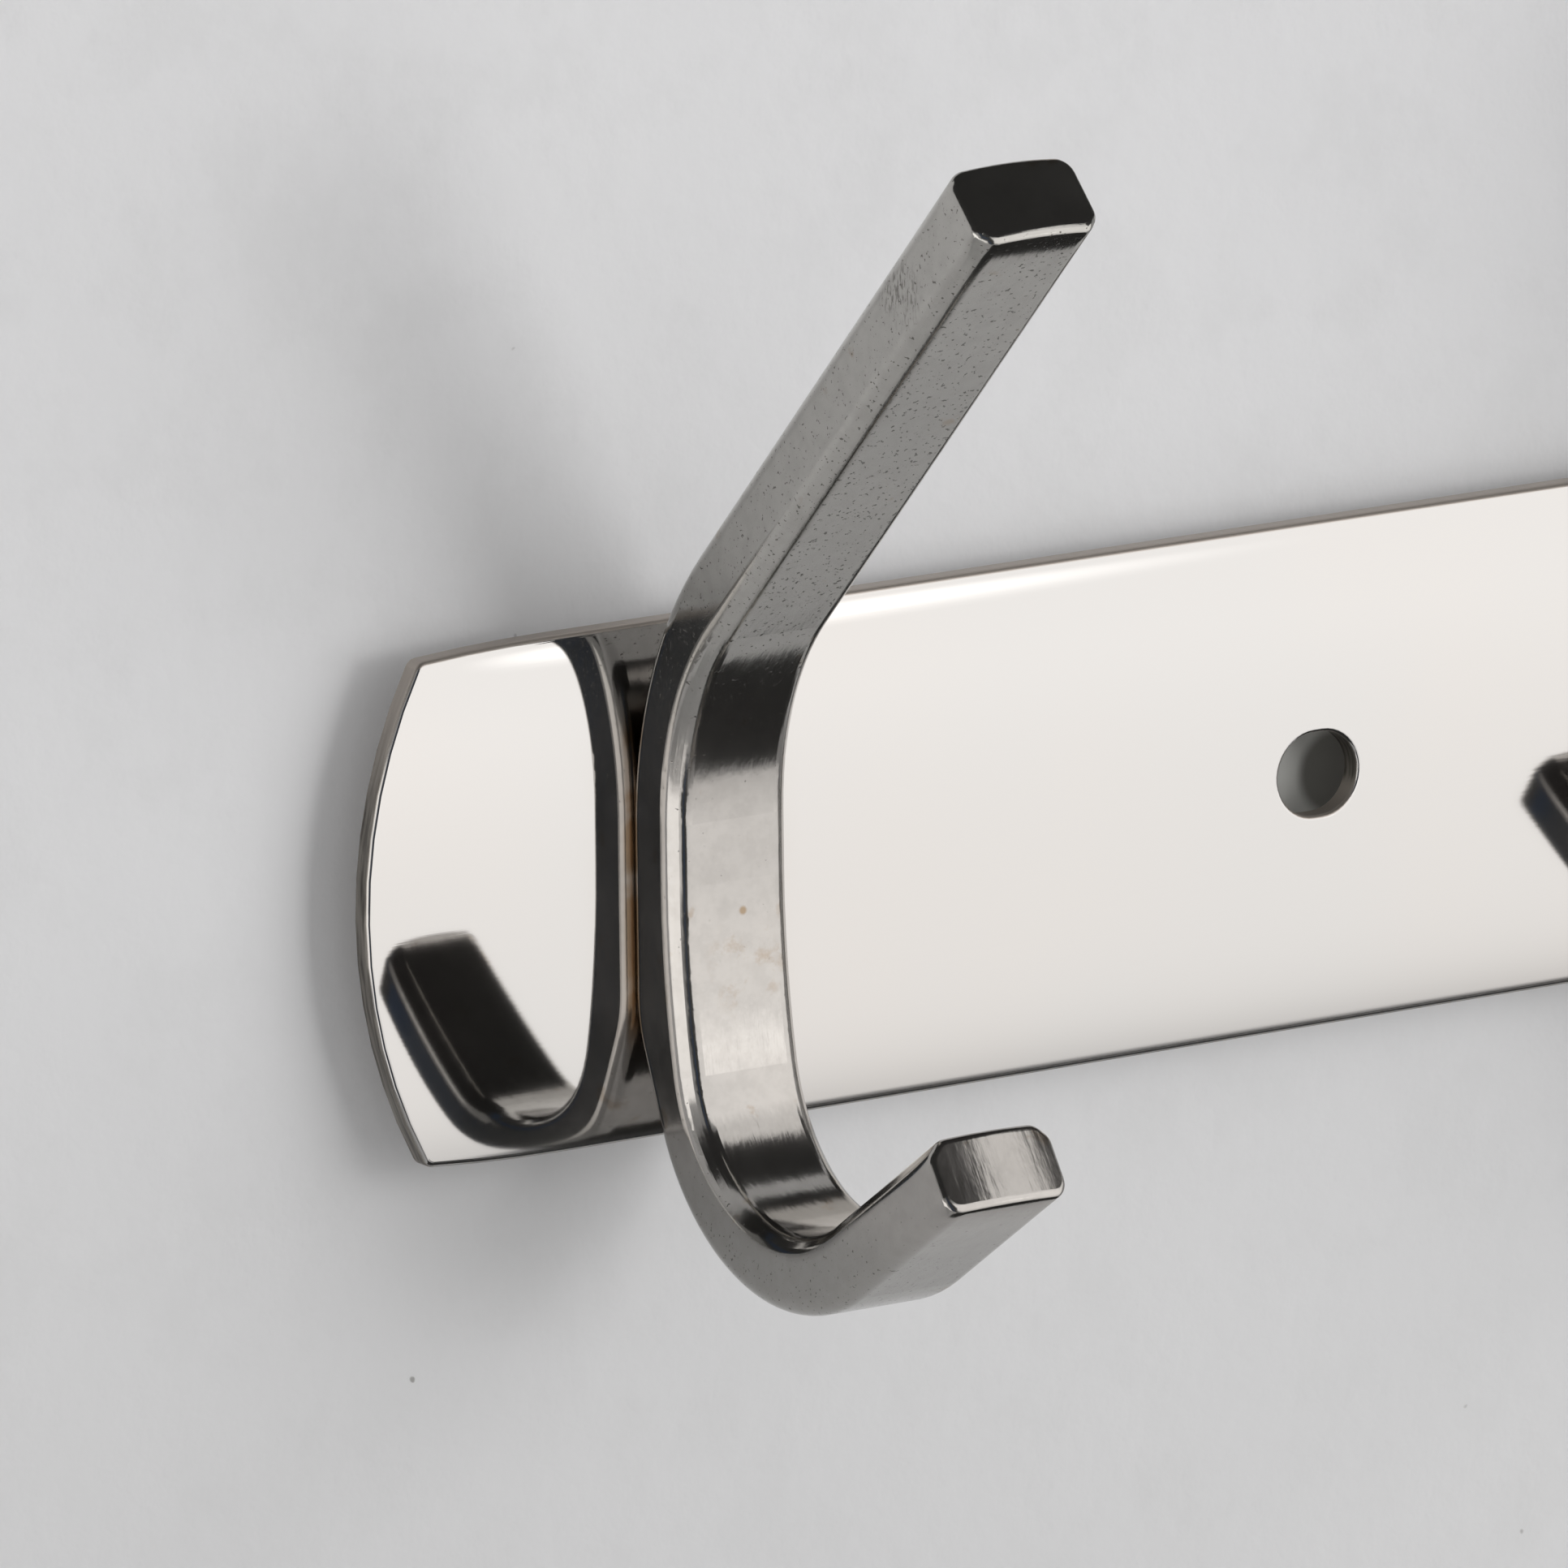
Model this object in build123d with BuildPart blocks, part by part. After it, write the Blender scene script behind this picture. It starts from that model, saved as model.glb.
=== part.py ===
"""Wall rail with double coat hooks, in polished stainless steel.

A thin mirror-polished strip with convex ends lies flat on the wall.
Cast hooks stand on its front face, each held by two countersunk screws from behind.
The wall screws go through two short slots, one between each outer pair of hooks.

Frame, in millimetres: the origin is the middle of the strip's back face,
+X runs along the strip, +Y points into the wall and +Z points up.
"""

import os
from math import cos, hypot, isclose, radians, sin, sqrt, tan

from build123d import *

# Strip
strip_height = 30.0
strip_thickness = 1.3
end_arc_radius = 30.0
end_overhang = 21.6
corner_droop = 0.4
corner_droop_length = 9.0
corner_radius = 0.8
front_edge_radius = 0.35
back_edge_radius = 0.15

# Hook row and wall slots
hook_count = 4
hook_pitch = 84.2
slot_offset = 43.4
slot_width = 4.9
slot_length = 5.5
slot_rim_radius = 0.25

# Hook section
hook_width = 8.15
root_thickness = 4.63
front_bevel = 0.9
bevel_rounding = 1.0
back_rounding = 1.1
tip_rounding = 0.45
tip_crown_radius = 18.0

# Nearness used when picking the hook's edges and bevels
edge_match = 0.6
bevel_match = 0.05

# Hook's flat pad on the strip, measured from the strip's middle line
pad_top = 3.3
pad_bottom = -6.5

# Upper prong, which leans out from the vertical
prong_lean = 45.2
prong_back_radius = 24.0
prong_front_radius = 16.3
prong_front_start = 4.1
prong_length = 37.2

# Lower hook, which leaves the pad, turns under and rises to its tip
lower_turn = 124.0
run_out_radius = 8.0
run_out_angle = 22.4
run_out_length = 4.7
lower_outer_radius = 13.25
root_front_end = 0.5
root_front_radius = 54.0
root_front_angle = 11.5
lower_inner_radius = 9.1
lower_arm_length = 13.1

# Screws that hold each hook from behind
screw_radius = 1.5
screw_head_radius = 2.65
screw_head_angle = 90.0
screw_head_sink = 0.1
screw_spacing = 6.2
screw_tip_room = 0.4
tapped_hole_cover = 1.0
screw_hole_clearance = 0.1
thread_gap = 0.02
tapped_hole_chamfer = 0.5
recess_width = 0.8
recess_span = 3.0
recess_depth = 1.1

# Places that follow from the sizes above
hook_span = hook_pitch * (hook_count - 1)
strip_length = hook_span + 2 * end_overhang
hook_places = [index * hook_pitch - hook_span / 2 for index in range(hook_count)]
slot_places = [hook_places[0] + slot_offset, hook_places[-1] - slot_offset]
screw_middle = (pad_top + pad_bottom) / 2
screw_heights = [screw_middle - screw_spacing / 2, screw_middle + screw_spacing / 2]
screw_places = [(x, z) for x in hook_places for z in screw_heights]
tapped_hole_depth = root_thickness - tapped_hole_cover
screw_length = strip_thickness - screw_head_sink + tapped_hole_depth - screw_tip_room
screw_head_slope = tan(radians(screw_head_angle / 2))
screw_head_height = (screw_head_radius - screw_radius) / screw_head_slope


def behind(x, y, z):
    """Plane across a screw's axis, facing the wall."""
    return Plane(origin=(x, y, z), x_dir=(1, 0, 0), z_dir=(0, 1, 0))


def crown_plane(profile_plane, tip, direction):
    """Plane along an arm's broad faces, with its origin at the tip and its Y axis along the arm."""
    origin = profile_plane.from_local_coords((tip.X, tip.Y, 0))
    along = profile_plane.from_local_coords((tip.X + direction.X, tip.Y + direction.Y, 0)) - origin
    return Plane(origin=origin, x_dir=(1, 0, 0), z_dir=Vector(1, 0, 0).cross(along))


def is_crown(face):
    """Whether a face is the crown that closes an arm's tip."""
    return abs(face.radius or 0) == tip_crown_radius


def is_bevel(face):
    """Whether a face is a bevel, which leans equally to a flank and to the hook's front."""
    normal = face.normal_at()
    return isclose(abs(normal.X), hypot(normal.Y, normal.Z), abs_tol=bevel_match)


def is_beside(edge, points):
    """Whether an edge's middle lies beside one of the points, seen along the strip."""
    middle = edge @ 0.5
    return any(hypot(middle.Y - point.Y, middle.Z - point.Z) < edge_match for point in points)


os.makedirs("parts", exist_ok=True)

# Strip: a quarter outline mirrored twice, with slots, countersinks and softened edges
half_length = strip_length / 2
half_height = strip_height / 2
corner_height = half_height - corner_droop
corner_x = half_length - end_arc_radius + sqrt(end_arc_radius**2 - corner_height**2)
with BuildPart() as back_plate:
    with BuildSketch(Plane.XZ) as strip_face:
        with BuildLine() as outline:
            long_edge = Line((0, half_height), (corner_x - corner_droop_length, half_height))
            droop = TangentArc(long_edge @ 1, (corner_x, corner_height), tangent=long_edge % 1)
            ThreePointArc((corner_x, corner_height), (half_length, 0), (corner_x, -corner_height))
            mirror(droop, about=Plane.XZ)
            mirror(long_edge, about=Plane.XZ)
            mirror(outline.edges(), about=Plane.YZ)
        make_face()
        fillet(strip_face.vertices().group_by(SortBy.DISTANCE)[-1], radius=corner_radius)
        with Locations(*[(x, 0) for x in slot_places]):
            SlotOverall(slot_length, slot_width, mode=Mode.SUBTRACT)
    extrude(amount=strip_thickness)
    front_face = back_plate.faces().sort_by(Axis.Y)[0]
    front_outline = front_face.outer_wire().edges()
    slot_rims = ShapeList([edge for wire in front_face.inner_wires() for edge in wire.edges()])
    back_outline = back_plate.faces().sort_by(Axis.Y)[-1].outer_wire().edges()
    fillet(front_outline, radius=front_edge_radius)
    fillet(slot_rims, radius=slot_rim_radius)
    fillet(back_outline, radius=back_edge_radius)
    with Locations(*[behind(x, 0, z) for x, z in screw_places]):
        CounterSinkHole(
            radius=screw_radius + screw_hole_clearance,
            counter_sink_radius=screw_head_radius + screw_head_sink * screw_head_slope + thread_gap,
            counter_sink_angle=screw_head_angle,
        )
back_plate.part.label = "back_plate"
export_step(back_plate.part, "parts/back_plate.step")

# Hooks: a side profile of lines and tangent arcs, extruded, bevelled along the front and rounded all round
prong_direction = Vector(sin(radians(prong_lean)), cos(radians(prong_lean)))
lower_direction = Vector(sin(radians(lower_turn)), -cos(radians(lower_turn)))
run_out_direction = Vector(sin(radians(run_out_angle)), -cos(radians(run_out_angle)))
for number, hook_x in enumerate(hook_places, start=1):
    side = Plane(origin=(hook_x, -strip_thickness, 0), x_dir=(0, -1, 0), z_dir=(-1, 0, 0))
    with BuildPart() as hook:
        with BuildSketch(side):
            with BuildLine():
                pad = Line((0, pad_bottom), (0, pad_top))
                prong_back = JernArc(pad @ 1, (0, 1), prong_back_radius, -prong_lean)
                prong_top = Line(prong_back @ 1, (prong_back @ 1) + prong_direction * prong_length)
                root_front = Line((root_thickness, prong_front_start), (root_thickness, root_front_end))
                prong_front = JernArc(root_front @ 0, (0, 1), prong_front_radius, -prong_lean)
                prong_reach = (prong_top @ 1 - prong_front @ 1).dot(prong_direction)
                prong_under = Line(prong_front @ 1, (prong_front @ 1) + prong_direction * prong_reach)
                prong_end = Line(prong_top @ 1, prong_under @ 1)
                run_out = JernArc(pad @ 0, (0, -1), run_out_radius, run_out_angle)
                run_out_line = Line(run_out @ 1, (run_out @ 1) + run_out_direction * run_out_length)
                outer_bend = JernArc(
                    run_out_line @ 1, run_out_direction, lower_outer_radius, lower_turn - run_out_angle
                )
                lower_under = Line(outer_bend @ 1, (outer_bend @ 1) + lower_direction * lower_arm_length)
                inner_start = JernArc(root_front @ 1, (0, -1), root_front_radius, root_front_angle)
                inner_bend = JernArc(
                    inner_start @ 1, inner_start % 1, lower_inner_radius, lower_turn - root_front_angle
                )
                lower_reach = (lower_under @ 1 - inner_bend @ 1).dot(lower_direction)
                lower_top = Line(inner_bend @ 1, (inner_bend @ 1) + lower_direction * lower_reach)
                lower_end = Line(lower_under @ 1, lower_top @ 1)
            make_face()
        extrude(amount=hook_width / 2, both=True)
        for end, direction in ((prong_end, prong_direction), (lower_end, lower_direction)):
            with BuildSketch(crown_plane(side, end @ 0.5, direction)):
                Rectangle(2 * hook_width, hook_width)
                with Locations((0, -tip_crown_radius)):
                    Circle(tip_crown_radius, mode=Mode.SUBTRACT)
            extrude(amount=hook_width, both=True, mode=Mode.SUBTRACT)
        front_lines = (root_front, prong_front, prong_under, inner_start, inner_bend, lower_top)
        front_points = [side.from_local_coords(line @ 0.5) for line in front_lines]
        back_lines = (pad, prong_back, prong_top, run_out, run_out_line, outer_bend, lower_under)
        back_points = [side.from_local_coords(line @ 0.5) for line in back_lines]
        flank_edges = hook.faces().filter_by(Axis.X).edges()
        chamfer(flank_edges.filter_by(lambda edge: is_beside(edge, front_points)), length=front_bevel)
        bevels = hook.faces().filter_by(is_bevel)
        plain_faces = hook.faces().filter_by(lambda face: not is_bevel(face) and not is_crown(face))
        fillet(ShapeList(set(bevels.edges()) & set(plain_faces.edges())), radius=bevel_rounding)
        flank_edges = hook.faces().filter_by(Axis.X).edges()
        fillet(flank_edges.filter_by(lambda edge: is_beside(edge, back_points)), radius=back_rounding)
        fillet(hook.faces().filter_by(is_crown).edges(), radius=tip_rounding)
        with Locations(*[behind(hook_x, -strip_thickness, z) for z in screw_heights]):
            CounterSinkHole(
                radius=screw_radius + thread_gap,
                counter_sink_radius=screw_radius + thread_gap + tapped_hole_chamfer,
                depth=tapped_hole_depth,
                counter_sink_angle=screw_head_angle,
            )
    hook.part.label = f"hook_{number}"
    export_step(hook.part, f"parts/hook_{number}.step")

# Screws: flat heads sunk just under the strip's back face, with a cross recess
with BuildPart() as hook_screws:
    with Locations(*[behind(x, -screw_head_sink, z) for x, z in screw_places]):
        Cylinder(screw_radius, screw_length, align=(Align.CENTER, Align.CENTER, Align.MAX))
        Cone(
            screw_radius,
            screw_head_radius,
            screw_head_height,
            align=(Align.CENTER, Align.CENTER, Align.MAX),
        )
        for turn in (0, 90):
            Box(
                recess_span,
                recess_width,
                recess_depth,
                rotation=(0, 0, turn),
                align=(Align.CENTER, Align.CENTER, Align.MAX),
                mode=Mode.SUBTRACT,
            )
hook_screws.part.label = "hook_screws"
export_step(hook_screws.part, "parts/hook_screws.step")
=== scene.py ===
"""Looks of the wall rail with double hooks: polished metal, wall, floor, soft light and camera."""

import math

import bpy
from mathutils import Matrix, Vector


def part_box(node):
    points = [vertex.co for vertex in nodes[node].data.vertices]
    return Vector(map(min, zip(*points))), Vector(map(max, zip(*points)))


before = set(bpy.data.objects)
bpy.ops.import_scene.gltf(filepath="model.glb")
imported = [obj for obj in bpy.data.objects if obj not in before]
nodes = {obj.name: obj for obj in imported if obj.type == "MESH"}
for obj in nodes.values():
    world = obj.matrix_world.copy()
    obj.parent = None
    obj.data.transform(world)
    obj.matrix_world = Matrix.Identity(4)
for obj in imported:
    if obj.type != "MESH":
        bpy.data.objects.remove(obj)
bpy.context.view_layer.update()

MM = 0.001

# Places on the object, read from the frame
hook_names = sorted(name for name in nodes if name.startswith("hook_") and name != "hook_screws")
hook_boxes = {name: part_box(name) for name in hook_names}
hook_middles = {name: (low.x + high.x) / 2 for name, (low, high) in hook_boxes.items()}
hook_low, hook_high = hook_boxes["hook_1"]
strip_low, strip_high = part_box("back_plate")
hook_pitch = hook_middles["hook_2"] - hook_middles["hook_1"]
hook_half_width = (hook_high.x - hook_low.x) / 2
strip_front = strip_low.y
strip_half_length = (strip_high.x - strip_low.x) / 2
strip_half_height = (strip_high.z - strip_low.z) / 2
view_target = Vector((hook_middles["hook_1"], strip_front, 0))

# Shapes of the part that its looks follow
end_arc_radius = 30 * MM
slot_offset = 43.4 * MM
prong_lean = math.radians(45.2)
lower_turn = math.radians(124.0)

# The hook's two arms from the side, as out from the wall and up: way to the tip and middle of the tip
tip_inset = 1.75 * MM
prong_way = (math.sin(prong_lean), math.cos(prong_lean))
prong_tip = (-hook_low.y - tip_inset, hook_high.z - tip_inset)
lower_way = (math.sin(lower_turn), -math.cos(lower_turn))
lower_tip = (31.5 * MM - strip_front, -10.6 * MM)

# Heights between which each arm's tip lies
prong_tip_heights = (20 * MM, hook_high.z)
lower_tip_heights = (hook_low.z, 0.0)

# Edges softened by polishing: how far the surface leans at the edge, and how fast it levels out
top_rolls = ((0.162, 5.0 * MM), (0.09, 0.6 * MM))
bottom_rolls = ((0.15, 1.9 * MM), (0.2, 0.3 * MM))
end_roll = (0.0384, 5.2 * MM)
tip_roll = (0.6, 0.9 * MM)

# Marks on the first hook: a brown cloud and a brown speck on its front, a scuff on its prong's left side
root_front = strip_front - 4.6 * MM
root_stain_place = Vector((hook_middles["hook_1"] + 0.8 * MM, root_front, -4.5 * MM))
root_speck_place = Vector((hook_middles["hook_1"] + 0.57 * MM, root_front, -1.3 * MM))
prong_scuff_place = Vector((hook_low.x, strip_front - 28.4 * MM, 38.8 * MM))

# Camera, as the photo was taken
image_size = 1932
focal_pixels = 24500.0
sensor_width = 36.0
target_pixel = Vector((849.4, 1077.1))
view_azimuth = math.radians(32.8)
view_elevation = math.radians(13.07)
view_roll = math.radians(-0.75)
view_distance = 1.12797
clip_near = 0.05
clip_far = 30.0

# Wall and floor
wall_gap = 2.4 * MM
floor_level = -0.9
stage_reach = 6.0
# Place of the painted shade of a drilled hole, from behind each slot
hole_shade_offset = Vector((3.8 * MM, 1.0 * MM))
opening_end_margin = 6 * MM
opening_edge_margin = 4 * MM
opening_slot_margin = 8 * MM
mirror_slot_margin = 4.5 * MM

# Light
warm_white = (1.0, 0.985, 0.97)
world_strength = 0.45
lamp_distance = 1.2
softbox_distance = 1.0
hot_patch_view = (32, 3.1)
hot_patch_radius = 0.07
flag_distance = 1.2
stripe_view = (-32.8, -13)


def make_camera():
    """Camera at the photo's viewing angle, turned so that the first hook's middle falls on its pixel."""
    forward = Vector((
        math.sin(view_azimuth) * math.cos(view_elevation),
        math.cos(view_azimuth) * math.cos(view_elevation),
        -math.sin(view_elevation),
    ))
    level_right = Vector((math.cos(view_azimuth), -math.sin(view_azimuth), 0))
    level_up = level_right.cross(forward)
    right = level_right * math.cos(view_roll) + level_up * math.sin(view_roll)
    up = level_up * math.cos(view_roll) - level_right * math.sin(view_roll)
    offset = (Vector((image_size / 2, image_size / 2)) - target_pixel) / focal_pixels
    axis = (forward + right * offset.x - up * offset.y).normalized()
    right = (right - axis * right.dot(axis)).normalized()
    up = right.cross(axis)
    camera = bpy.data.objects.new("camera", bpy.data.cameras.new("camera"))
    camera.data.sensor_width = sensor_width
    camera.data.lens = focal_pixels / image_size * sensor_width
    camera.data.clip_start = clip_near
    camera.data.clip_end = clip_far
    turn = Matrix((right, up, -axis)).transposed().to_4x4()
    camera.matrix_world = Matrix.Translation(view_target - forward * view_distance) @ turn
    bpy.context.scene.collection.objects.link(camera)
    bpy.context.scene.camera = camera


class Tree:
    """Node tree of a new material, with short ways to add its nodes."""

    def __init__(self, name):
        self.material = bpy.data.materials.new(name)
        self.material.use_nodes = True
        self.nodes = self.material.node_tree.nodes
        self.links = self.material.node_tree.links
        self.nodes.clear()

    def node(self, kind, values=None, **settings):
        """New node, with its settings, and with values or links on its inputs."""
        made = self.nodes.new("ShaderNode" + kind)
        for key, value in settings.items():
            setattr(made, key, value)
        for socket, value in (values or {}).items():
            if isinstance(value, bpy.types.NodeSocket):
                self.links.new(value, made.inputs[socket])
            else:
                made.inputs[socket].default_value = value
        return made

    def math(self, operation, *values):
        """Result of a math node."""
        return self.node("Math", dict(enumerate(values)), operation=operation).outputs[0]

    def product(self, first, *others):
        """Product of two or more values."""
        for other in others:
            first = self.math("MULTIPLY", first, other)
        return first

    def vector(self, operation, *values):
        """Result of a vector math node."""
        return self.node("VectorMath", dict(enumerate(values)), operation=operation).outputs[0]

    def scaled(self, vector, factor):
        """Vector multiplied by a factor."""
        return self.node("VectorMath", {0: vector, "Scale": factor}, operation="SCALE").outputs[0]

    def measure(self, operation, *vectors):
        """Number that a vector math node gives for its vectors."""
        return self.node("VectorMath", dict(enumerate(vectors)), operation=operation).outputs["Value"]

    def split(self, vector):
        """The three parts of a vector."""
        return self.node("SeparateXYZ", {0: vector}).outputs

    def join(self, x, y, z):
        """Vector from three parts."""
        return self.node("CombineXYZ", {0: x, 1: y, 2: z}).outputs[0]

    def ramp(self, value, low, high, start=0.0, end=1.0):
        """Smooth step of a value from low to high."""
        return self.node("MapRange", {
            "Value": value, "From Min": low, "From Max": high, "To Min": start, "To Max": end,
        }, interpolation_type="SMOOTHSTEP").outputs[0]

    def mix(self, factor, first, second):
        """Colour between two colours."""
        first, second = (
            color if isinstance(color, bpy.types.NodeSocket) else (*color, 1) for color in (first, second)
        )
        return self.node("Mix", {0: factor, 6: first, 7: second}, data_type="RGBA").outputs[2]

    def noise(self, vector, scale, detail=2.0, roughness=0.5):
        """Noise around a half at points of a vector."""
        return self.node("TexNoise", {
            "Vector": vector, "Scale": scale, "Detail": detail, "Roughness": roughness}).outputs[0]

    def stretch(self, vector, x, y, z):
        """Vector with its parts multiplied."""
        return self.vector("MULTIPLY", vector, (x, y, z))

    def fade(self, distance, amount, reach):
        """Amount that falls off with distance."""
        return self.product(self.math("EXPONENT", self.math("DIVIDE", distance, -reach)), amount)

    def bump(self, height, strength, distance, normal=None):
        """Normal that follows the slopes of a height."""
        values = {"Height": height, "Strength": strength, "Distance": distance}
        if normal is not None:
            values["Normal"] = normal
        return self.node("Bump", values).outputs[0]

    def place(self):
        """Point on the piece."""
        return self.node("TexCoord").outputs["Object"]

    def world_place(self):
        """Point in the scene."""
        return self.node("NewGeometry").outputs["Position"]

    def facing(self):
        """Normal of the surface."""
        return self.node("NewGeometry").outputs["Normal"]

    def finish(self, surface):
        """The material, with its output fed by a shader node."""
        self.node("OutputMaterial", {"Surface": surface.outputs[0]})
        return self.material

    def metal(self, color, roughness, normal):
        """The material as bare metal."""
        return self.finish(self.node("BsdfPrincipled", {
            "Base Color": color, "Metallic": 1.0, "Roughness": roughness, "Normal": normal}))

    def glow(self, color, strength):
        """The material as an even or painted light."""
        return self.finish(self.node("Emission", {"Color": color, "Strength": strength}))


def strip_material():
    """Mirror-polished sheet, rolled off towards its edges, with dull cut edges and faint stains."""
    tree = Tree("polished_strip")
    place = tree.place()
    x, _, z = tree.split(place)
    facing = tree.facing()
    _, ny, nz = tree.split(facing)
    front = tree.ramp(ny, -0.985, -0.999)

    # Roll-off: the surface leans outwards near the long edges and the ends
    to_top = tree.math("SUBTRACT", strip_half_height, z)
    to_bottom = tree.math("ADD", strip_half_height, z)
    arc_depth = tree.math("SQRT", tree.math("SUBTRACT", end_arc_radius**2, tree.product(z, z)))
    end_place = tree.math("ADD", arc_depth, strip_half_length - end_arc_radius)
    to_end = tree.math("SUBTRACT", end_place, tree.math("ABSOLUTE", x))
    lean_up = tree.math("ADD", *[tree.fade(to_top, *roll) for roll in top_rolls])
    lean_down = tree.math("ADD", *[tree.fade(to_bottom, *roll) for roll in bottom_rolls])
    lean_up = tree.math("SUBTRACT", lean_up, lean_down)
    lean_out = tree.product(tree.math("SIGN", x), tree.fade(to_end, *end_roll))
    lean = tree.scaled(tree.join(lean_out, 0.0, lean_up), front)
    rolled = tree.vector("NORMALIZE", tree.vector("ADD", facing, lean))

    # Fine polishing lines along the strip
    lines = tree.noise(tree.stretch(place, 60, 60, 5200), 1.0, 3.0)
    normal = tree.bump(lines, 0.02, 0.02 * MM, rolled)

    # Faint warm and cool tints
    tint = tree.ramp(tree.noise(place, 28.0, 2.0), 0.35, 0.65)
    sheet = tree.mix(tint, (0.556, 0.537, 0.520), (0.545, 0.534, 0.523))

    # Brown polish left beside the hooks' pads: a fine line and a wide faint smear
    local = tree.math("WRAP", tree.math("SUBTRACT", x, view_target.x), hook_pitch / 2, -hook_pitch / 2)
    beside = tree.math("SUBTRACT", tree.math("ABSOLUTE", local), hook_half_width)
    line = tree.ramp(beside, 0.45 * MM, 0.05 * MM)
    smear = tree.ramp(beside, 4 * MM, 0.0, 0.0, 0.12)
    blots = tree.ramp(tree.noise(place, 420.0, 3.0), 0.3, 0.6, 0.35, 1.0)
    along = tree.ramp(tree.math("ABSOLUTE", z), 12 * MM, 7 * MM)
    stain = tree.product(tree.math("ADD", line, smear), blots, along, front)
    sheet = tree.mix(stain, sheet, (0.36, 0.27, 0.19))

    # Cut edges: ends and underside dark brown, partly dull cut finish, partly painted dark reflection at
    # the bottom edge; top edge buffed brighter
    edge = tree.ramp(tree.math("ABSOLUTE", ny), 0.85, 0.45)
    grain = tree.ramp(tree.noise(tree.stretch(place, 300, 4000, 300), 1.0, 3.0), 0.3, 0.7)
    sheet = tree.mix(edge, sheet, tree.mix(grain, (0.10, 0.092, 0.082), (0.30, 0.28, 0.25)))
    top = tree.ramp(nz, 0.15, 0.5)
    sheet = tree.mix(top, sheet, (0.46, 0.415, 0.375))
    dullness = tree.math("MAXIMUM", tree.product(edge, 0.3), tree.product(top, 0.42))
    dullness = tree.math("ADD", dullness, tree.fade(to_bottom, 0.3, 0.45 * MM))
    rough = tree.math("ADD", dullness, tree.ramp(tint, 0.0, 1.0, 0.03, 0.045))
    return tree.metal(sheet, rough, normal)


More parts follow.
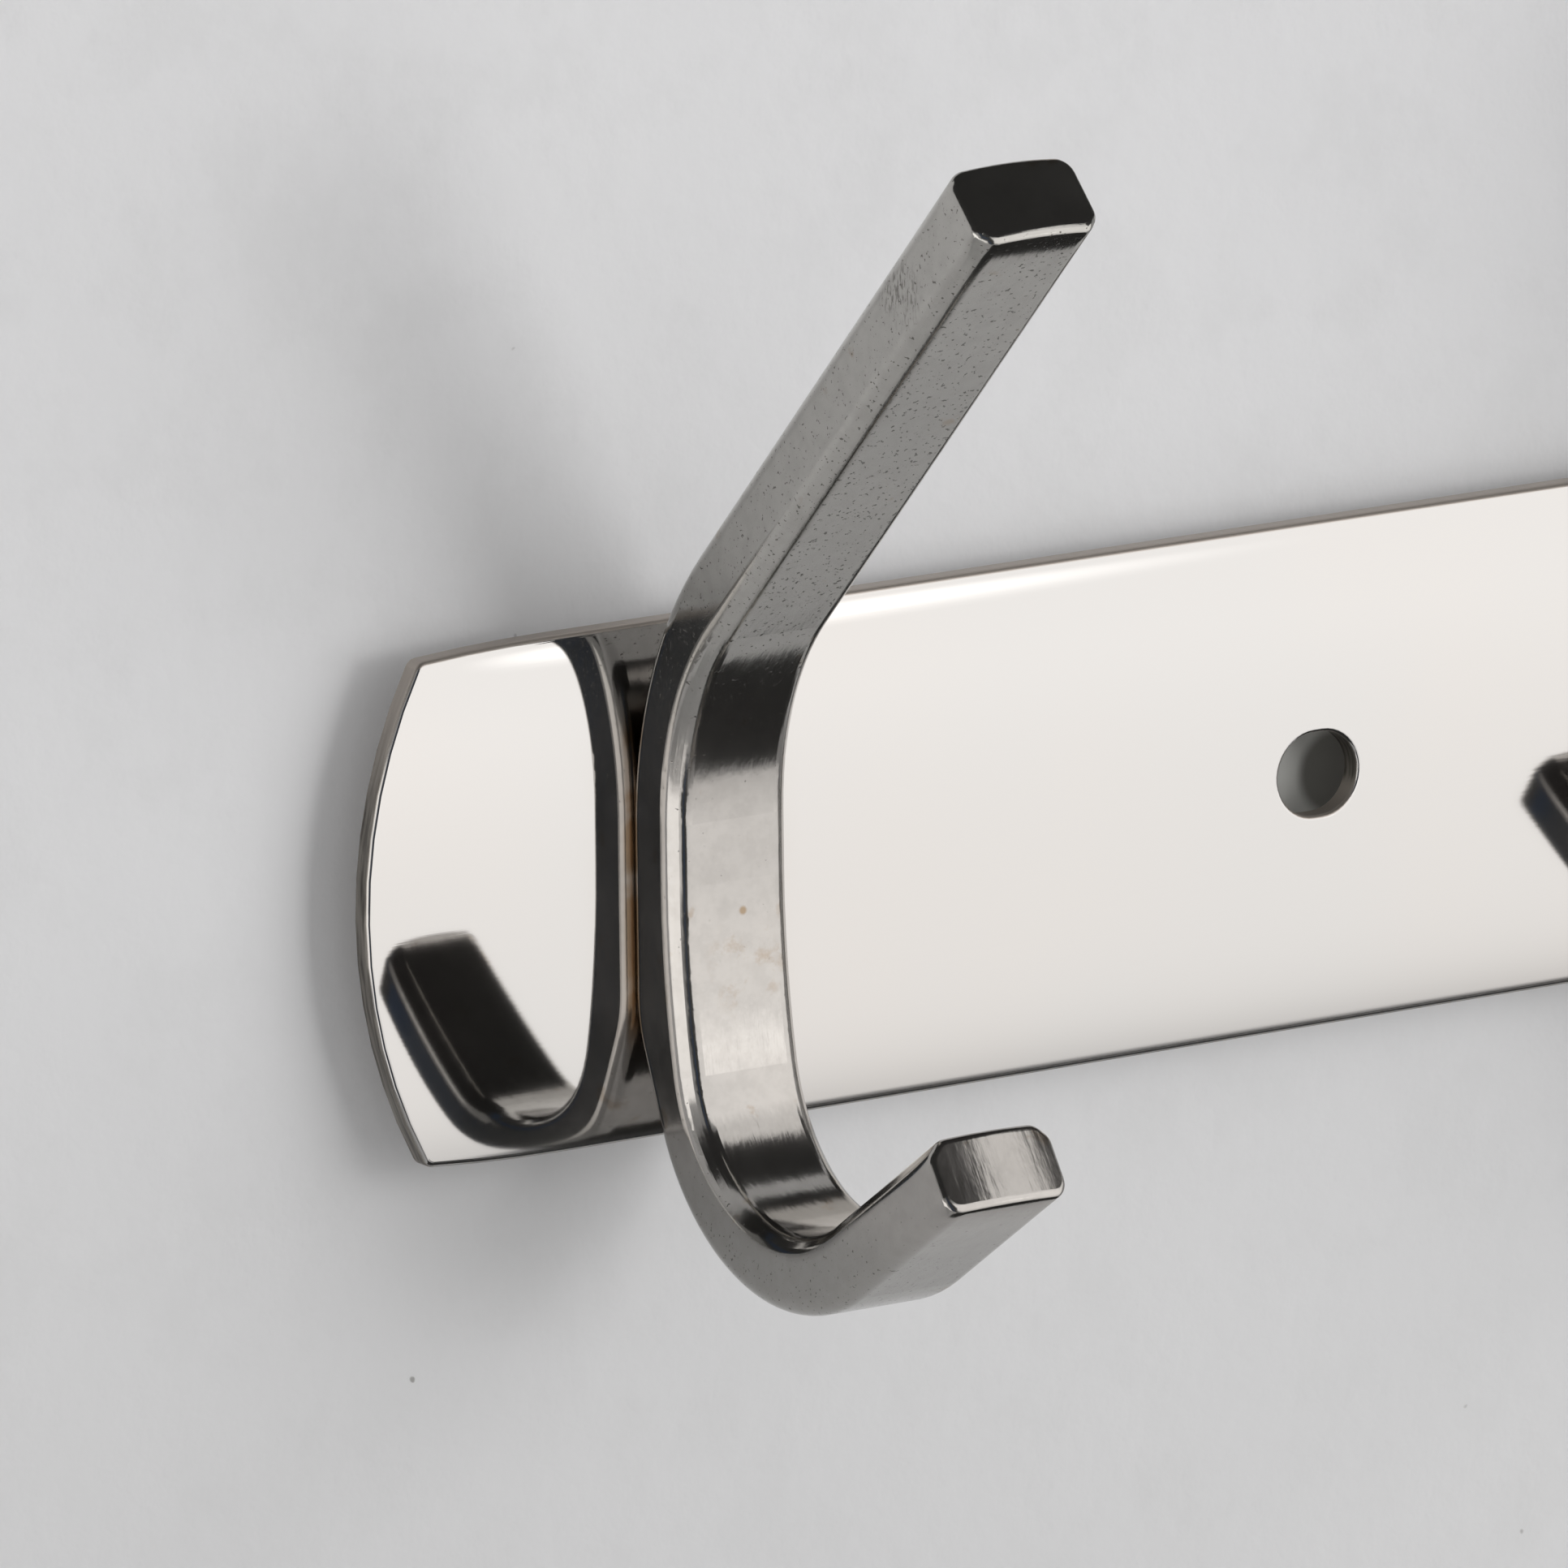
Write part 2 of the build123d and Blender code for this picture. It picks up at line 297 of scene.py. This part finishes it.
def hook_material():
    """Cast steel polished by hand: streaks along the arms, fine pits, brown spots and soft tips."""
    tree = Tree("cast_hook")
    place = tree.place()
    _, y, z = tree.split(place)
    facing = tree.facing()
    side = tree.math("ABSOLUTE", tree.split(facing)[0])

    # Soft tips: the faces lean towards the tip over the last millimetres of each arm
    leans = []
    for (out, up), (tip_out, tip_up), (low, high) in (
        (prong_way, prong_tip, prong_tip_heights),
        (lower_way, lower_tip, lower_tip_heights),
    ):
        reach = out * tip_out + up * tip_up
        travel = tree.math("ADD", tree.product(y, -out), tree.product(z, up))
        to_tip = tree.math("MAXIMUM", tree.math("SUBTRACT", reach, travel), 0.0)
        inside = tree.product(tree.math("GREATER_THAN", z, low), tree.math("LESS_THAN", z, high))
        amount = tree.product(tree.fade(to_tip, *tip_roll), inside)
        leans.append(tree.scaled((0.0, -out, up), amount))
    soft = tree.vector("NORMALIZE", tree.vector("ADD", facing, tree.vector("ADD", *leans)))

    # Polishing marks: soft streaks along the arms, fine lines and grit
    streaks = tree.noise(tree.stretch(place, 900, 330, 330), 1.0, 3.0, 0.55)
    lines = tree.noise(tree.stretch(place, 3600, 200, 200), 1.0, 3.0, 0.6)
    grit = tree.noise(place, 3600.0, 2.0)
    height = tree.math("ADD", streaks, tree.product(lines, 0.22))
    height = tree.math("ADD", height, tree.product(grit, 0.07))
    normal = tree.bump(height, 1.0, 0.021 * MM, soft)

    # Pits: thick on the prong and the lower arm, thin about the root, and none on the prong's end
    from_root = tree.math("ABSOLUTE", tree.math("ADD", z, 3 * MM))
    patches = tree.product(tree.noise(place, 190.0, 2.0), 0.06)
    bare = tree.math("SUBTRACT", tree.ramp(from_root, 8 * MM, 18 * MM, 0.745, 0.675), patches)
    holes = tree.noise(tree.stretch(place, 3300, 4200, 4200), 1.0, 2.0, 0.55)
    prong_out, prong_up = prong_way
    end = tree.measure("DOT_PRODUCT", facing, (0.0, -prong_out, prong_up))
    off_end = tree.ramp(end, 0.85, 0.6)
    pit = tree.product(tree.ramp(tree.math("SUBTRACT", holes, bare), 0.0, 0.05), off_end)
    normal = tree.bump(tree.math("SUBTRACT", 1.0, pit), 0.25, 0.02 * MM, normal)

    # Colour: warm grey, brighter about the root and on the prong's sides, with painted shade under the
    # lower arm
    tone = tree.ramp(tree.noise(place, 130.0, 3.0), 0.3, 0.7)
    polish = tree.ramp(from_root, 17 * MM, 10 * MM)
    dull = tree.mix(tone, (0.366, 0.358, 0.340), (0.394, 0.384, 0.364))
    bright = tree.mix(tone, (0.405, 0.389, 0.370), (0.440, 0.420, 0.398))
    steel = tree.mix(polish, dull, bright)
    buffed = tree.product(tree.ramp(z, 9 * MM, 22 * MM), tree.ramp(side, 0.35, 0.75))
    buffed = tree.math("MAXIMUM", buffed, tree.ramp(z, 25 * MM, 42 * MM, 0.0, 0.4))
    steel = tree.mix(buffed, steel, (0.475, 0.463, 0.438))
    # Painted shade: the lower arm's underside darkened
    steel = tree.mix(tree.ramp(z, -13 * MM, -18 * MM, 0.0, 0.5), steel, (0.30, 0.293, 0.278))
    mottle = tree.ramp(tree.noise(place, 950.0, 3.0, 0.6), 0.35, 0.7, 0.0, 0.14)
    steel = tree.mix(mottle, steel, (0.20, 0.19, 0.175))

    # Brown spots on all hooks, and a cloud and a speck on the first hook's front
    cloud_away = tree.measure("DISTANCE", place, tuple(root_stain_place))
    wisps = tree.ramp(tree.noise(place, 700.0, 4.0, 0.65), 0.5, 0.72)
    cloud = tree.product(tree.ramp(cloud_away, 3.6 * MM, 1.0 * MM), wisps)
    spots = tree.ramp(tree.noise(place, 330.0, 4.0, 0.6), 0.64, 0.72)
    brown = tree.math("MAXIMUM", tree.product(cloud, 0.55), tree.product(spots, 0.45))
    speck_away = tree.measure("DISTANCE", place, tuple(root_speck_place))
    brown = tree.math("MAXIMUM", brown, tree.ramp(speck_away, 0.34 * MM, 0.14 * MM, 0.0, 0.95))
    steel = tree.mix(brown, steel, (0.29, 0.22, 0.15))

    # Dark pits, and a scuffed patch on the first hook's prong
    scuff_away = tree.measure("DISTANCE", place, tuple(prong_scuff_place))
    scratches = tree.ramp(tree.noise(tree.stretch(place, 900, 5200, 1500), 1.0, 3.0, 0.6), 0.48, 0.66)
    scuff = tree.product(tree.ramp(scuff_away, 2.6 * MM, 0.8 * MM), scratches)
    dark = tree.math("MAXIMUM", tree.product(pit, 0.7), tree.product(scuff, 0.6))
    steel = tree.mix(dark, steel, (0.05, 0.042, 0.034))
    rough = tree.math("ADD", tree.ramp(tone, 0.0, 1.0, 0.13, 0.17), tree.product(dark, 0.1))
    return tree.metal(steel, rough, normal)


def screw_material():
    """Turned steel screws, with fine rings and grey variation."""
    tree = Tree("turned_screw")
    place = tree.place()
    tone = tree.ramp(tree.noise(place, 900.0, 3.0), 0.3, 0.7)
    steel = tree.mix(tone, (0.52, 0.51, 0.50), (0.58, 0.57, 0.56))
    rings = tree.noise(tree.stretch(place, 900, 6000, 900), 1.0, 2.0)
    rough = tree.ramp(tone, 0.0, 1.0, 0.26, 0.38)
    return tree.metal(steel, rough, tree.bump(rings, 0.15, 0.05 * MM))


def softbox_material():
    """Large soft light: dimmer towards its foot, with a brighter round patch."""
    tree = Tree("softbox_glow")
    place = tree.world_place()
    height = tree.split(place)[2]
    level = tree.ramp(height, -0.5, -0.1, 1.08, 1.55)
    hot_patch = view_target + direction(*hot_patch_view) * softbox_distance
    away = tree.measure("DISTANCE", place, tuple(hot_patch))
    level = tree.math("ADD", level, tree.ramp(away, hot_patch_radius, 0.0))
    return tree.glow((*warm_white, 1), level)


def glow_material(name, color, strength):
    """Even glow."""
    return Tree(name).glow((*color, 1), strength)


def flag_material():
    """Dark card on the camera's side, with a blue stripe."""
    tree = Tree("flag_blue")
    x = tree.split(tree.world_place())[0]
    stripe = (view_target + direction(*stripe_view) * flag_distance).x + hook_pitch
    from_stripe = tree.math("ABSOLUTE", tree.math("SUBTRACT", x, stripe))
    cool = tree.ramp(from_stripe, 0.075, 0.045)
    return tree.glow(tree.mix(cool, (0.07, 0.071, 0.07), (0.055, 0.085, 0.145)), 1.0)


def wall_material():
    """Painted plaster, seen only from the room, open behind the strip, with painted shade and the painted
    shade of a drilled hole behind its slots.
    """
    tree = Tree("wall_paint")
    geometry = tree.node("NewGeometry")
    place = geometry.outputs["Position"]
    x, _, z = tree.split(place)
    along = tree.math("ABSOLUTE", x)
    above = tree.math("ABSOLUTE", z)
    slot_place = -(hook_middles["hook_1"] + slot_offset)
    to_slot = tree.math("SUBTRACT", along, slot_place)
    from_slot = tree.measure("LENGTH", tree.join(to_slot, 0.0, z))
    to_hole_shade = tree.math("ADD", to_slot, hole_shade_offset.x)
    from_hole_shade = tree.measure("LENGTH", tree.join(to_hole_shade, 0.0, tree.math("ADD", z, hole_shade_offset.y)))

    # Paint: painted shade darkening it downwards, smudges, specks, and painted shade behind each slot,
    # darkest in a round patch for a drilled hole
    tone = tree.ramp(tree.noise(place, 14.0, 3.0), 0.3, 0.7)
    paint = tree.mix(tone, (0.865, 0.861, 0.869), (0.89, 0.886, 0.892))
    # Painted shade: the wall darker downwards, as the light falls off
    paint = tree.mix(tree.ramp(z, 50 * MM, -60 * MM, 0.0, 0.7), paint, (0.71, 0.707, 0.707))
    smudges = tree.ramp(tree.noise(place, 130.0, 5.0, 0.65), 0.45, 0.7, 0.0, 0.11)
    paint = tree.mix(smudges, paint, (0.62, 0.617, 0.61))
    specks = tree.ramp(tree.noise(place, 520.0, 2.0, 0.4), 0.795, 0.83)
    paint = tree.mix(specks, paint, (0.42, 0.41, 0.40))
    # Painted shade: the wall darker behind each slot, where the strip shades it
    paint = tree.mix(tree.ramp(from_slot, 6.5 * MM, 5.5 * MM), paint, (0.53, 0.53, 0.505))
    # Painted shade: a darker round patch for the inside of a drilled hole
    paint = tree.mix(tree.ramp(from_hole_shade, 3.0 * MM, 2.1 * MM), paint, (0.2, 0.196, 0.18))
    fine = tree.noise(place, 1100.0, 2.0)
    lumps = tree.noise(place, 240.0, 3.0)
    height = tree.math("ADD", fine, tree.product(lumps, 2.5))
    plaster = tree.node("BsdfDiffuse", {"Color": paint, "Normal": tree.bump(height, 0.3, 0.12 * MM)})

    # Left open: the middle of the strip's back, what that back would mirror, and the wall's own back
    opening = tree.product(
        tree.math("LESS_THAN", along, strip_half_length - opening_end_margin),
        tree.math("LESS_THAN", above, strip_half_height - opening_edge_margin),
        tree.math("GREATER_THAN", from_slot, opening_slot_margin),
    )
    mirrored = tree.product(
        tree.math("LESS_THAN", along, strip_half_length),
        tree.math("LESS_THAN", above, strip_half_height),
        tree.math("GREATER_THAN", from_slot, mirror_slot_margin),
        tree.node("LightPath").outputs["Is Glossy Ray"],
    )
    unseen = tree.math("MAXIMUM", opening, mirrored)
    unseen = tree.math("MAXIMUM", unseen, geometry.outputs["Backfacing"])
    clear = tree.node("BsdfTransparent")
    return tree.finish(tree.node("MixShader", {0: unseen, 1: plaster.outputs[0], 2: clear.outputs[0]}))


def floor_material():
    """Plain pale floor."""
    tree = Tree("floor")
    tone = tree.ramp(tree.noise(tree.place(), 3.0, 3.0), 0.3, 0.7)
    paint = tree.mix(tone, (0.78, 0.78, 0.78), (0.82, 0.82, 0.82))
    return tree.finish(tree.node("BsdfDiffuse", {"Color": paint}))


def plane_object(name, corners, material):
    """Flat stage object through four corners."""
    mesh = bpy.data.meshes.new(name)
    mesh.from_pydata([tuple(corner) for corner in corners], [], [tuple(range(len(corners)))])
    mesh.materials.append(material)
    made = bpy.data.objects.new(name, mesh)
    bpy.context.scene.collection.objects.link(made)
    return made


def direction(azimuth, elevation):
    """Unit vector into the room, from degrees to the right of straight out and above level."""
    a = math.radians(azimuth)
    e = math.radians(elevation)
    return Vector((math.sin(a) * math.cos(e), -math.cos(a) * math.cos(e), math.sin(e)))


def facing_card(name, azimuth, elevation, distance, width, height, material):
    """Card that faces the first hook."""
    out = direction(azimuth, elevation)
    side = Vector((math.cos(math.radians(azimuth)), math.sin(math.radians(azimuth)), 0))
    rise = side.cross(-out)
    middle = view_target + out * distance
    corners = [
        middle + side * (sx * width / 2) + rise * (sz * height / 2)
        for sx, sz in ((-1, -1), (1, -1), (1, 1), (-1, 1))
    ]
    return plane_object(name, corners, material)


def level_card(name, low, high, height, material):
    """Level card at a height above the first hook, between two corners in plan."""
    corners = ((low[0], low[1]), (high[0], low[1]), (high[0], high[1]), (low[0], high[1]))
    return plane_object(name, [view_target + Vector((x, y, height)) for x, y in corners], material)


def lamp(name, azimuth, elevation, width, height, power):
    """Area lamp that faces the first hook and lights the wall."""
    made = bpy.data.objects.new(name, bpy.data.lights.new(name, "AREA"))
    made.data.shape = "RECTANGLE"
    made.data.size = width
    made.data.size_y = height
    made.data.energy = power
    out = direction(azimuth, elevation)
    made.location = view_target + out * lamp_distance
    made.rotation_euler = out.to_track_quat("Z", "Y").to_euler()
    made.visible_glossy = False
    bpy.context.scene.collection.objects.link(made)


def make_stage():
    """Wall, floor, two lamps for the wall, and bright and dark cards that only the metal reflects."""
    reach = stage_reach
    plane_object("wall", [
        (-reach, wall_gap, floor_level), (reach, wall_gap, floor_level),
        (reach, wall_gap, reach), (-reach, wall_gap, reach)], wall_material())
    plane_object("floor", [
        (-reach, -2 * reach, floor_level), (reach, -2 * reach, floor_level),
        (reach, reach, floor_level), (-reach, reach, floor_level)], floor_material())

    left_glow = glow_material("left_glow", warm_white, 1.85)
    tip_glow = glow_material("tip_glow", warm_white, 1.27)
    low_glow = glow_material("low_glow", warm_white, 1.3)
    black = glow_material("flag_black", (1.0, 0.99, 0.97), 0.04)

    # Facing cards: azimuth and elevation in degrees, then distance, width and height
    cards = [
        facing_card("softbox", 31, 5.5, softbox_distance, 1.62, 1.324, softbox_material()),
        facing_card("left_panel", -68, -5, 0.8, 0.5, 0.5, left_glow),
        facing_card("tip_panel", 50.5, 36.6, 0.7, 0.265, 0.206, tip_glow),
        facing_card("flag_camera", -22.25, 5, flag_distance, 0.677, 2.2, flag_material()),
        facing_card("low_panel", -48.5, -25, 1.3, 0.39, 0.62, low_glow),
        facing_card("flag_tip", 65.5, 34, 0.6, 0.2, 0.2, black),
        level_card("flag_below", (-0.1, -0.62), (0.6, -0.005), -0.45, black),
        level_card("flag_above", (-1.1, -0.65), (1.2, 0.0), 0.6, black),
        level_card("flag_bend", (-0.02, -0.03), (0.25, 0.0035), 0.12, black),
    ]
    for card in cards:
        card.visible_camera = False
        card.visible_diffuse = False
        card.visible_shadow = False

    # Lamps: azimuth and elevation in degrees, then width, height and watts
    lamp("key", 28, 5, 0.3, 0.3, 1.1)
    lamp("fill", 44, 6, 1.0, 1.1, 7.1)


def make_world():
    """Even grey surroundings."""
    world = bpy.data.worlds.new("studio")
    bpy.context.scene.world = world
    world.use_nodes = True
    background = world.node_tree.nodes["Background"]
    background.inputs["Color"].default_value = (1, 1, 1, 1)
    background.inputs["Strength"].default_value = world_strength


make_camera()
make_stage()
make_world()
finishes = {"back_plate": strip_material(), "hook_screws": screw_material()}
hook_finish = hook_material()
for name, part in nodes.items():
    part.data.materials.clear()
    part.data.materials.append(finishes.get(name, hook_finish))

view_settings = bpy.context.scene.view_settings
view_settings.view_transform = "Standard"
